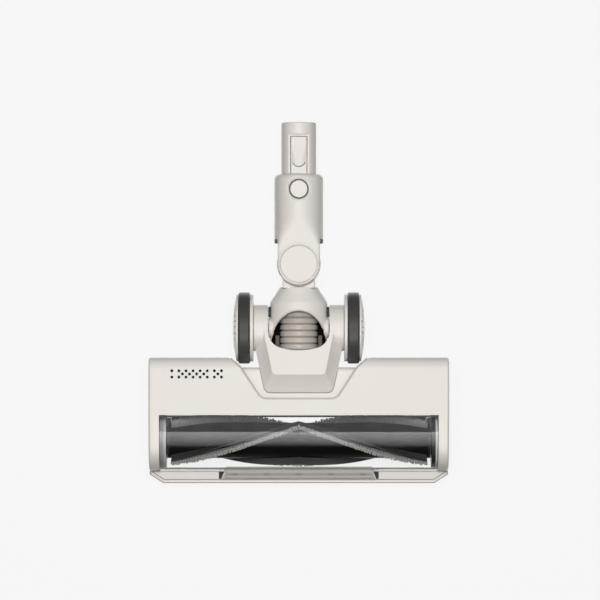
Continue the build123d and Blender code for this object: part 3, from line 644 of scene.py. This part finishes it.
hose_rubber = coated_rubber(
    "hose_rubber", paint(226, 218, 209), paint(214, 206, 197), paint(96, 91, 87)
)
hose = corrugated_hose("hose_bellows")
smooth(hose)
hose.data.materials.append(hose_rubber)
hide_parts("bellows_hose")
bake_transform(hose)

# Top cover, bumper and yoke
# The shells that show: satin champagne-beige plastic with a fine pearl flake, moulded and clipped
# together. The cover frames the window, the bumper is the nose, and the yoke carries the axle.


def beige_plastic(name, **more):
    """The plastic of all the shells that show, with an edge or a painted shade mask of their own if
    given.
    """
    light = paint(234, 229, 223)
    dark = paint(230, 225, 218)
    return moulded_plastic(name, light, dark, 0.40, metallic=0.10, **more)


shell_plastic = beige_plastic("shell_plastic")
dress(shell_plastic, "top_cover", "yoke_cover", "yoke_base")
# Painted light: the nose is a paler copy of the shell plastic, making up for light its slope misses.
nose_plastic = moulded_plastic("nose_plastic", paint(253, 249, 243), paint(250, 246, 240), 0.40)
dress(nose_plastic, "front_bumper")

# Lip of the recess, bead of the nose and painted shade lines
# Two edges moulded with their shells: the bevelled lip where the cover drops to the yoke, and the
# raised bead that runs round the nose below its slope. Dark strips beside the bead and round the
# foot of the yoke are painted shade lines.
RECESS_REAR = np.array([0.0587, -0.0249])
RECESS_SIDE = np.array([0.0491, -0.0332])
RECESS_FRONT = np.array([0.0318, -0.0597])
RECESS_ROUND = 0.009
LIP_REAR = 0.86
YOKE_SIDE = np.array([0.0377, -0.0107])
YOKE_FRONT = np.array([0.0282, -0.0542])
YOKE_ROUND = 0.0055
FOOT_REAR = 0.42
DECK_TOP = 0.0385
COVER_TOP = 0.052
COVER_ROUND = 0.010
LIP = np.array(
    [[-0.0003, -0.0030], [0.0014, -0.0030], [0.0014, -0.0026], [0.0, 0.0], [-0.0003, -0.00003]]
)
NOSE_SLOPE = 0.6515
NOSE_TOP = (-0.1198, 0.02056)
NOSE_LINE = np.array([[0.1250, -0.11995], [0.1250, -0.1226], [0.1138, -0.1299]])
BEAD_WIDTH = 0.0029
BEAD_DEPTH = 0.0040
BEAD_ROUND = 0.0014
BEAD_RISE = 0.0003
BEAD_BACK = 0.0001
BEAD_INWARD = np.array([0.0, 0.45, 0.92, 0.92, 0.45, 0.0])
LINE_INSIDE = np.array(
    [[0.0028, -0.0006], [0.0034, -0.0006], [0.0034, 0.0003], [0.0028, 0.0003]]
)
LINE_OUTSIDE = np.array(
    [[0.0001, -0.0030], [0.0006, -0.0030], [0.0006, -0.0003], [0.0001, -0.0006]]
)
LINE_FOOT = np.array(
    [[-0.0004, -0.0005], [0.0002, -0.0005], [0.0002, 0.0002], [-0.0004, 0.0002]]
)


def mitred_bead(name, line, profile):
    """A closed profile carried along a line, whose y is measured from the wheel axle.

    The profile gives a way d to the left of the line and a height h above it. At each point the left
    normals m and n of the two runs meet in the mitre (m + n) / (1 + m.n), and the ring is the point
    plus d times the mitre, raised by h. The middle of each end ring closes it.
    """
    runs = np.diff(line[:, :2], axis=0)
    runs = runs / np.linalg.norm(runs, axis=1, keepdims=True)
    left = np.stack([-runs[:, 1], runs[:, 0]], axis=1)
    before = np.concatenate([left[:1], left])
    after = np.concatenate([left, left[-1:]])
    mitre = (before + after) / (1 + (before * after).sum(axis=1, keepdims=True))
    flat = line[:, None, :2] + profile[None, :, :1] * mitre[:, None, :]
    high = line[:, None, 2:] + profile[None, :, 1:]
    rings = np.concatenate([flat, high], axis=2)
    ends = np.repeat(rings[[0, -1]].mean(axis=1, keepdims=True), len(profile), axis=1)
    rings = np.concatenate([ends[:1], rings, ends[1:]])
    rings[..., 1] += axle_y
    return skin(name, rings[None])


def corner_arc(side, front, radius):
    """The right front corner c of a plan, rounded.

    With u and v along its two runs and t half the angle between them, the middle of the arc is
    c + (u + v) / |u + v| * r / sin t.
    """
    u = (side - front) / np.linalg.norm(side - front)
    v = np.array([-1.0, 0.0])
    half = np.arccos(u @ v) / 2
    middle = front + (u + v) / np.linalg.norm(u + v) * radius / np.sin(half)
    turn = np.linspace(-np.pi / 2, np.pi / 2 - 2 * half, 9)
    return middle + radius * np.stack([np.cos(turn), np.sin(turn)], axis=1)


def both_sides(right):
    """A line from its left end to its right one: the right half and its mirror image."""
    return np.concatenate([right[::-1] * [-1, 1], right])


def recess_line():
    """The edge of the recess from left to right. Its rear follows the round of the cover."""
    rear = RECESS_SIDE + np.linspace(0, LIP_REAR, 7)[:, None] * (RECESS_REAR - RECESS_SIDE)
    corner = corner_arc(RECESS_SIDE, RECESS_FRONT, RECESS_ROUND)
    plan = both_sides(np.concatenate([corner, rear]))
    drop = np.clip(plan[:, 1] - (RECESS_REAR[1] - COVER_ROUND), 0, COVER_ROUND)
    high = COVER_TOP - COVER_ROUND + np.sqrt(COVER_ROUND**2 - drop**2)
    return np.column_stack([plan, high])


def foot_line():
    """The front of the yoke's foot on the deck, with part of its two sides."""
    rear = YOKE_FRONT + FOOT_REAR * (YOKE_SIDE - YOKE_FRONT)
    corner = corner_arc(YOKE_SIDE, YOKE_FRONT, YOKE_ROUND)
    plan = both_sides(np.concatenate([corner, rear[None]]))
    return np.column_stack([plan, np.full(len(plan), DECK_TOP)])


def nose_line():
    """The foot of the nose from left to right, as high as its slope at the bead's inner side."""
    plan = both_sides(NOSE_LINE[::-1])
    back = NOSE_TOP[0] - plan[:, 1] - BEAD_INWARD * BEAD_WIDTH
    return np.column_stack([plan, NOSE_TOP[1] - NOSE_SLOPE * back + BEAD_RISE])


def bead_profile(width, depth, radius):
    """A strip as wide and deep as given, below the line, with both upper edges rounded."""
    turn = np.linspace(0, np.pi / 2, 5)
    inner = np.stack([width + radius * (np.cos(turn) - 1), radius * (np.sin(turn) - 1)], axis=1)
    outer = np.stack([BEAD_BACK + radius * (1 - np.sin(turn)), radius * (np.cos(turn) - 1)], axis=1)
    return np.concatenate([[[BEAD_BACK, -depth], [width, -depth]], inner, outer])


# Painted shade: dark strips beside the bead and round the foot of the yoke.
parting_plastic = moulded_plastic(
    "parting_plastic", paint(150, 146, 140), paint(138, 134, 128), 0.5
)
nose_edge = bead_profile(BEAD_WIDTH, BEAD_DEPTH, BEAD_ROUND)
MOULDED_EDGES = {
    "recess_lip": (recess_line(), LIP, shell_plastic),
    "nose_bead": (nose_line(), nose_edge, shell_plastic),
    "nose_line_inside": (nose_line(), LINE_INSIDE, parting_plastic),
    "nose_line_outside": (nose_line(), LINE_OUTSIDE, parting_plastic),
    "yoke_line": (foot_line(), LINE_FOOT, parting_plastic),
}
for name, (line, profile, material) in MOULDED_EDGES.items():
    piece = mitred_bead(name, line, profile)
    piece.data.materials.append(material)
    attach(piece, "head")

# Window, its clips and its gaskets
# A clear polycarbonate strip with a crease across it, bent round the front of the roller and clipped
# in. Its polished skin, a little bowed below the crease, mirrors the lights. Foam and rubber seal it.
WINDOW_CREASE = -0.10775
WINDOW_FLAT = 0.0121
WINDOW_BOW = 0.18
WINDOW_INDEX = 1.4
WINDOW_HAZE = 0.012


def clear_plastic(name):
    """Clear plastic: light passes, apart from the share that the skin mirrors, and a faint haze.

    Below the crease the skin is bowed: its slope grows evenly over the flat, and stays so round the
    front.
    """
    material, start, place = new_material(name)
    smear = noise(place, 45.0, 4.0)
    mirror = start.add("ShaderNodeFresnel", None, {"IOR": WINDOW_INDEX})
    run = (WINDOW_CREASE - place.part(1)) / WINDOW_FLAT
    bow = run.clamp() ** 2.0 * 0.5 + (run - 1.0).at_least(0.0)
    bent = start.add(
        "ShaderNodeBump",
        {"invert": True},
        {"Strength": 1.0, "Distance": 1.0, "Height": bow * (WINDOW_FLAT * WINDOW_BOW)},
    )
    gloss = start.add(
        "ShaderNodeBsdfPrincipled",
        None,
        {
            "Base Color": (1, 1, 1, 1),
            "Metallic": 1.0,
            "Roughness": 0.03 + 0.05 * smear,
            "Normal": bent,
        },
    )
    through = start.add("ShaderNodeBsdfTransparent", None, {"Color": (0.995, 0.995, 0.995, 1)})
    inside = start.add("ShaderNodeNewGeometry", out="Backfacing")
    share = (mirror * (1 - inside) + WINDOW_HAZE * smear).clamp()
    show(start.add("ShaderNodeMixShader", None, {0: share, 1: through, 2: gloss}))
    return material


dress(clear_plastic("window_clear"), "roller_window")
dress(black_plastic, "window_clips")
gasket_foam = rubber("gasket_foam", paint(54, 52, 51), paint(38, 37, 36), 0.8, 0.5)
seal_rubber = rubber("seal_rubber", paint(132, 128, 123), paint(112, 108, 104), 0.6)
GASKET_DEPTH = 0.0006
GASKET_ROUND = 0.0003
GASKETS = {
    "gasket_front": (-0.1160, 0.1160, -0.1184, 0.0232, 0.0017, seal_rubber),
    "gasket_rear": (-0.1168, 0.1168, -0.0747, 0.0494, 0.0017, gasket_foam),
    "gasket_left": (-0.1104, -0.1062, -0.0794, 0.0487, 0.0046, gasket_foam),
    "gasket_right": (0.1062, 0.1104, -0.0794, 0.0487, 0.0046, gasket_foam),
}
for name, (left, right, y, z, width, material) in GASKETS.items():
    line = np.array([[left, y, z], [right, y, z]])
    gasket = mitred_bead(name, line, bead_profile(width, GASKET_DEPTH, GASKET_ROUND))
    gasket.data.materials.append(material)
    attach(gasket, "head")

# Light lens
# A frosted strip on the slope of the bumper, with five diodes behind it that show as soft spots.
# It is ribbed along its length, with the light and shade of its ribs painted on as bands of grey.
# A cap painted dark as shade, with a painted highlight along a slanting edge, closes each end.
LENS_FRONT = -0.14715
LENS_DEPTH = 0.0089
# Painted light and shade: greys of the lens from its front edge to its rear.
LENS_SHADING_BANDS = [
    (0.0, 0.10),
    (0.05, 0.16),
    (0.10, 0.70),
    (0.26, 0.74),
    (0.36, 0.52),
    (0.48, 0.58),
    (0.62, 0.86),
    (0.88, 0.95),
    (1.0, 0.60),
]
LENS_HAIRS = (60.0, 1500.0, 1500.0)
LENS_RELIEF = 0.0002
DIODE_PITCH = 0.02695
DIODE_HALF = 0.0042
DIODE_BACK = 0.42
DIODE_SPREAD = 0.16
CAP_ENDS = (0.0609, 0.0670)
CAP_SLANT = 0.0036
CAP_HIGHLIGHT_WIDTH = 0.0007
CAP_MIDDLE = -0.1233
CAP_HALF = 0.0031
CAP_FOOT = -0.0008
CAP_TOP = 0.00006


def frosted_lens(name):
    """Frosted lens: its ribs' light and shade painted as grey bands from the front edge, and a soft
    spot before each diode.
    """
    material, start, place = new_material(name)
    x = place.part(0)
    back = (place.part(1) - LENS_FRONT) / LENS_DEPTH
    bands = start.add("ShaderNodeValToRGB", {"stops": LENS_SHADING_BANDS}, {"Fac": back})
    beside = abs(x.maths("WRAP", x, DIODE_PITCH / 2, -DIODE_PITCH / 2))
    spot = (1 - beside / DIODE_HALF).clamp() * (1 - abs(back - DIODE_BACK) / DIODE_SPREAD).clamp()
    glass = bands.between(paint(40, 38, 36), paint(250, 245, 237))
    ribs = drawn_noise(place, LENS_HAIRS, 1.0)
    surface(
        start,
        {
            "Base Color": (spot * 0.7).between(glass, paint(138, 136, 120)),
            "Roughness": 0.22 + 0.2 * ribs,
            "Alpha": 0.94,
            "Normal": bump(ribs, 0.3, LENS_RELIEF),
        },
    )
    return material


def lens_cap(name):
    """End cap: painted shade, dark outside a slanting line across it and grey inside, with a painted
    highlight along the line.
    """
    material, start, place = new_material(name)
    back = ((place.part(1) - LENS_FRONT) / LENS_DEPTH).clamp()
    past = abs(place.part(0)) - (CAP_ENDS[0] + CAP_SLANT * (1 - back))
    # Painted shade: dark outside the line, grey inside.
    shade = (past > 0.0).between(paint(190, 188, 184), paint(72, 69, 66))
    # Painted highlight along the slanting line.
    edge = (1 - abs(past) / CAP_HIGHLIGHT_WIDTH).clamp()
    grain = noise(place, 1500.0, 2.0)
    surface(
        start,
        {"Base Color": edge.between(shade, paint(240, 238, 234)), "Roughness": 0.3 + 0.15 * grain},
    )
    return material


dress(frosted_lens("lens_frosted"), "light_lens")
# Painted shade and highlight: thin caps lie on the slope at each end of the lens.
cap_shade = lens_cap("lens_cap")
cap_reach = np.array([-CAP_HALF, CAP_HALF, CAP_HALF, -CAP_HALF])
cap_height = NOSE_SLOPE * cap_reach + [CAP_FOOT, CAP_FOOT, CAP_TOP, CAP_TOP]
cap_profile = np.stack([cap_reach, cap_height], axis=1)
cap_place = [CAP_MIDDLE, NOSE_TOP[1] - NOSE_SLOPE * (NOSE_TOP[0] - CAP_MIDDLE)]
for side, (near, far) in {"left": (-CAP_ENDS[1], -CAP_ENDS[0]), "right": CAP_ENDS}.items():
    line = np.array([[near, *cap_place], [far, *cap_place]])
    cap = mitred_bead(f"lens_shade_end_{side}", line, cap_profile)
    cap.data.materials.append(cap_shade)
    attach(cap, "head")

# Wheels
# Each wheel is a moulded hub with a rubber tyre stretched over it and a domed cap with cooling slots.
# It turns on a steel pin outside the arm of the yoke.
SLOT_FLOOR = 0.05235
SLOT_REACH = 0.0252
tyre_rubber = rubber("tyre_rubber", paint(72, 71, 70), paint(62, 61, 60), 0.38, 0.3)
dress(tyre_rubber, "tyre_left", "tyre_right")
dress(shell_plastic, "wheel_hub_left", "wheel_hub_right")


# Painted shade: the cap plastic is painted black on the floor of the slots.
def slot_floor(place):
    """The floor of a cap's slots: below the floor's distance from the middle, and near the axle."""
    reach = distance_from(place, pivot["neck_pitch"], (0, 1, 1))
    return (abs(place.part(0)) < SLOT_FLOOR) * (reach < SLOT_REACH)


cap_plastic = beige_plastic("cap_plastic", lining=slot_floor)
dress(cap_plastic, "hub_cap_left", "hub_cap_right")

# Elbow and neck
# Two moulded shells each: the elbow pitches about the wheel axle, and the neck swivels on its drum.
# A flat cap closes the swivel, and two rubber plugs stop its turn. The inside of the hood is painted
# black as shade, and a dark rubber pad on either side fills the shaded gap beside the hood.
HOOD_HALF = (0.0229, 0.0172)
HOOD_REAR = 0.0213
ELBOW_EDGE = 0.0030
NECK_EDGE = 0.0040
PAD_INNER = 0.0230
PAD_OUTER = 0.02545
PAD_BEVEL = 0.0004
PAD_MIDDLE = (0.0133, -0.0020)
PAD_HALF = (0.0045, 0.0070)


# Painted shade: the elbow plastic is painted black inside this region.
def hood_inside(place):
    """The inside of the hood: an oval tube at the height of the axle that ends at the hood's rear."""
    reach = distance_from(place, pivot["neck_pitch"], (1 / HOOD_HALF[0], 0, 1 / HOOD_HALF[1]))
    return (reach < 1.0) * (place.part(1) < axle_y + HOOD_REAR)


elbow_plastic = beige_plastic("elbow_plastic", edge=ELBOW_EDGE, lining=hood_inside)
dress(elbow_plastic, "elbow_front", "elbow_back")
dress(beige_plastic("neck_plastic", edge=NECK_EDGE), "neck_front", "neck_rear")
dress(shell_plastic, "swivel_cap")
dress(rubber("plug_rubber", paint(126, 120, 114), paint(104, 99, 94), 0.5), "neck_plugs")


def gap_shade_pad(name, side):
    """A dark pad on the side of the hood, put in the gap beside it where there is shade.

    Its outline is a rounded oblong, |cos t|^(1/2) and |sin t|^(1/2), drawn in at its outer edge.
    """
    turn = np.linspace(0, 2 * np.pi, 40, endpoint=False)
    round_y = np.sign(np.cos(turn)) * np.sqrt(np.abs(np.cos(turn)))
    round_z = np.sign(np.sin(turn)) * np.sqrt(np.abs(np.sin(turn)))
    share = np.array([0.0, 1.0, 1.0, 0.9, 0.0])[:, None]
    out = np.array([PAD_INNER, PAD_INNER, PAD_OUTER - PAD_BEVEL, PAD_OUTER, PAD_OUTER])
    points = np.stack(
        [
            side * np.repeat(out[:, None], len(turn), axis=1),
            axle_y + PAD_MIDDLE[0] + PAD_HALF[0] * share * round_y,
            axle_z + PAD_MIDDLE[1] + PAD_HALF[1] * share * round_z,
        ],
        axis=-1,
    )
    return skin(name, points[None, :, ::side])


# Painted shade: dark pads fill the shaded gaps beside the hood.
for side_name, side in (("left", -1), ("right", 1)):
    pad = gap_shade_pad(f"hood_gap_shade_{side_name}", side)
    pad.data.materials.append(fin_rubber)
    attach(pad, "elbow")

# Spigot, latch and button
# The tube that goes into the wand, with a sprung latch in its slot, the button that works it, and two
# brass contact pins in a black block. A soft ring seals the button, and a dark strip at the foot of
# the catch paints the shade below its step.
SEAL_RADIUS = 0.0078
SEAL_THICK = 0.00045
SEAL_HEIGHT = 0.0172
STEP_MIDDLE = 0.140
STEP_RADIUS = 0.0061
STEP_TOP = 0.04305
STEP_ARC = np.radians(np.linspace(200, 340, 21))
STEP_WIDTH = 0.0009
STEP_DEPTH = 0.0004
STEP_ROUND = 0.0002
SPRING_PITCH = 0.00115
SPRING_HEIGHT = 0.0036
SPRING_RADIUS = 0.0023
SPRING_WIRE = 0.0003
SPRING_FOOT = np.array([0.0, 0.10715, axle_z + 0.00655])
WIRE_COLUMNS = 10
BRASS_HAIRS = (4000.0, 500.0, 4000.0)
dress(shell_plastic, "spigot", "latch_lever", "release_button")
dress(black_plastic, "contact_block")
contact_brass = metal("contact_brass", paint(214, 180, 102), paint(186, 150, 78), 0.3, BRASS_HAIRS)
dress(contact_brass, "contact_pins")


def turned_ring(name, middle, radius, thick):
    """A ring about Z: a circle of the given thickness, turned about the middle at the radius."""
    turn = np.linspace(0, 2 * np.pi, 64, endpoint=False)[:, None]
    section = np.linspace(0, 2 * np.pi, WIRE_COLUMNS, endpoint=False)[None, :]
    reach = radius + thick * np.cos(section)
    points = np.stack(
        [
            middle[0] + reach * np.cos(turn),
            middle[1] + reach * np.sin(turn),
            middle[2] + thick * np.sin(section) + 0 * turn,
        ],
        axis=-1,
    )
    return skin(name, points[None, :, ::-1], close_rows=True)


def wound_wire(name):
    """A wire wound about Z: at turn t its middle is (R cos t, R sin t, pitch * t / 2 pi).

    Round it lies a circle of the wire's radius, spanned by the outward direction and the one square
    to it and to the wire. The middles of the two end circles close the wire.
    """
    turn = np.linspace(0, 2 * np.pi * SPRING_HEIGHT / SPRING_PITCH, 120)
    rise = SPRING_PITCH / (2 * np.pi)
    out = np.stack([np.cos(turn), np.sin(turn), 0 * turn], axis=1)
    round_z = np.stack([-np.sin(turn), np.cos(turn), 0 * turn], axis=1)
    square = np.cross(out, SPRING_RADIUS * round_z + [0, 0, rise])
    square = square / np.linalg.norm(square, axis=1, keepdims=True)
    middle = SPRING_FOOT + SPRING_RADIUS * out + np.outer(rise * turn, [0, 0, 1])
    section = np.linspace(0, 2 * np.pi, WIRE_COLUMNS, endpoint=False)[None, :, None]
    circle = np.cos(section) * out[:, None] + np.sin(section) * square[:, None]
    rings = middle[:, None] + SPRING_WIRE * circle
    ends = np.repeat(middle[[0, -1], None], WIRE_COLUMNS, axis=1)
    return skin(name, np.concatenate([ends[:1], rings, ends[1:]])[None, :, ::-1])


button_middle = np.mean(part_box("release_button"), axis=0)
seal_middle = (*button_middle[:2], axle_z + SEAL_HEIGHT)
button_seal = turned_ring("button_seal", seal_middle, SEAL_RADIUS, SEAL_THICK)
button_seal.data.materials.append(seal_rubber)
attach(button_seal, "neck")

# Painted shade: a dark strip along the foot of the catch.
step_line = np.column_stack(
    [
        STEP_RADIUS * np.cos(STEP_ARC),
        STEP_MIDDLE + STEP_RADIUS * np.sin(STEP_ARC),
        np.full(len(STEP_ARC), STEP_TOP),
    ]
)
step_profile = bead_profile(STEP_WIDTH, STEP_DEPTH, STEP_ROUND)
catch_step = mitred_bead("catch_step", step_line, step_profile)
catch_step.data.materials.append(seal_rubber)
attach(catch_step, "latch")

spring = wound_wire("latch_coil")
smooth(spring)
spring.data.materials.append(plated_steel)
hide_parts("latch_spring")
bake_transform(spring)

# Floor and lights
# A pale light table, a soft dome that is bright overhead and dim at the horizon, a round lamp above
# that gives most of the light, and one strip softbox in front, which the window mirrors.
FLOOR_HALF = 4.0
FLOOR_TOP = -0.0004
TABLE_SHADE = (0.037, 0.037, 0.037, 1)
TABLE_GLOW = (0.97, 0.97, 0.97, 1)
TABLE_POWER = 0.908
DOME_HORIZON = 0.012
DOME_TOP = 1.8
DOME_BELOW = 2.5
SOFTBOX_HALF = 0.22
SOFTBOX_FRONT = (-1.22, 1.15)
SOFTBOX_REAR = (-0.56, 1.25)
SOFTBOX_FADE = 0.64
SOFTBOX_POWER = 7.2
LAMP_PLACE = Vector((0.0, 0.20, 1.87))
LAMP_AIM = Vector((0.0, 0.0, 0.03))
LAMP_WIDTH = 0.7
LAMP_POWER = 37.5
SHEET_STEPS = 9


def flat_sheet(name, half, front, rear):
    """A sheet as wide as two halves, from the y and z of its front edge to those of its rear one.

    Its corners are weighed by u from left to right and by v from front to rear over a small grid.
    """
    steps = np.linspace(0, 1, SHEET_STEPS)
    u, v = np.meshgrid(steps, steps)
    x = half * (2 * u - 1)
    y = front[0] + v * (rear[0] - front[0])
    z = front[1] + v * (rear[1] - front[1])
    points = np.stack([x, y, z], axis=-1)
    index = np.arange(SHEET_STEPS**2).reshape(SHEET_STEPS, SHEET_STEPS)
    corners = [index[:-1, :-1], index[:-1, 1:], index[1:, 1:], index[1:, :-1]]
    faces = np.stack(corners, axis=-1)
    mesh = bpy.data.meshes.new(name)
    mesh.from_pydata(points.reshape(-1, 3).tolist(), [], faces.reshape(-1, 4).tolist())
    piece = bpy.data.objects.new(name, mesh)
    bpy.context.scene.collection.objects.link(piece)
    return piece


floor = flat_sheet("floor", FLOOR_HALF, (-FLOOR_HALF, FLOOR_TOP), (FLOOR_HALF, FLOOR_TOP))
light_table, start, place = new_material("light_table")
surface(
    start,
    {
        "Base Color": TABLE_SHADE,
        "Roughness": 0.9,
        "Specular IOR Level": 0.0,
        "Emission Color": TABLE_GLOW,
        "Emission Strength": TABLE_POWER,
    },
)
floor.data.materials.append(light_table)
floor.visible_diffuse = False
floor.visible_glossy = False

softbox = flat_sheet("softbox", SOFTBOX_HALF, SOFTBOX_FRONT, SOFTBOX_REAR)
softbox_cloth, start, place = new_material("softbox_cloth")
fade = ((place.part(1) - SOFTBOX_FRONT[0]) / SOFTBOX_FADE).clamp()
glow = (fade**1.1).between((0, 0, 0, 1), (1, 1, 1, 1))
show(start.add("ShaderNodeEmission", None, {"Color": glow, "Strength": SOFTBOX_POWER}))
softbox.data.materials.append(softbox_cloth)
softbox.visible_camera = False
softbox.visible_diffuse = False

world = bpy.data.worlds.new("studio_dome")
bpy.context.scene.world = world
world.use_nodes = True
world.node_tree.nodes.clear()
start = Wire(world.node_tree)
up = start.add("ShaderNodeTexCoord", out="Generated").part(2)
above = up.at_least(0.0)
below = (up * -1.0).clamp()
dome = DOME_HORIZON + DOME_TOP * above**12.0 + DOME_BELOW * below**3.0
sky = start.add("ShaderNodeBackground", None, {"Color": (1.0, 1.0, 1.0, 1), "Strength": dome})
start.add("ShaderNodeOutputWorld", None, {"Surface": sky})

lamp = bpy.data.objects.new("key_light", bpy.data.lights.new("key_light", "AREA"))
lamp.data.shape = "DISK"
lamp.data.size = LAMP_WIDTH
lamp.data.energy = LAMP_POWER
lamp.location = LAMP_PLACE
lamp.rotation_euler = (LAMP_PLACE - LAMP_AIM).to_track_quat("Z", "Y").to_euler()
lamp.visible_glossy = False
bpy.context.scene.collection.objects.link(lamp)

# Camera
# Almost straight above and far away, leaning a little to the front, as the photograph was taken.
LOOK_AT = Vector((0.0010, 0.0024, 0.035))
LEAN = np.radians(88.7)
DISTANCE = 3.60
FRAME_WIDTH = 0.5011
back = Vector((0.0, -np.cos(LEAN), np.sin(LEAN)))
camera = bpy.data.objects.new("camera", bpy.data.cameras.new("camera"))
camera.data.lens = camera.data.sensor_width * DISTANCE / FRAME_WIDTH
camera.location = LOOK_AT + back * DISTANCE
camera.rotation_euler = (-back).to_track_quat("-Z", "Y").to_euler()
bpy.context.scene.collection.objects.link(camera)
bpy.context.scene.camera = camera
bpy.context.scene.view_settings.view_transform = "Standard"
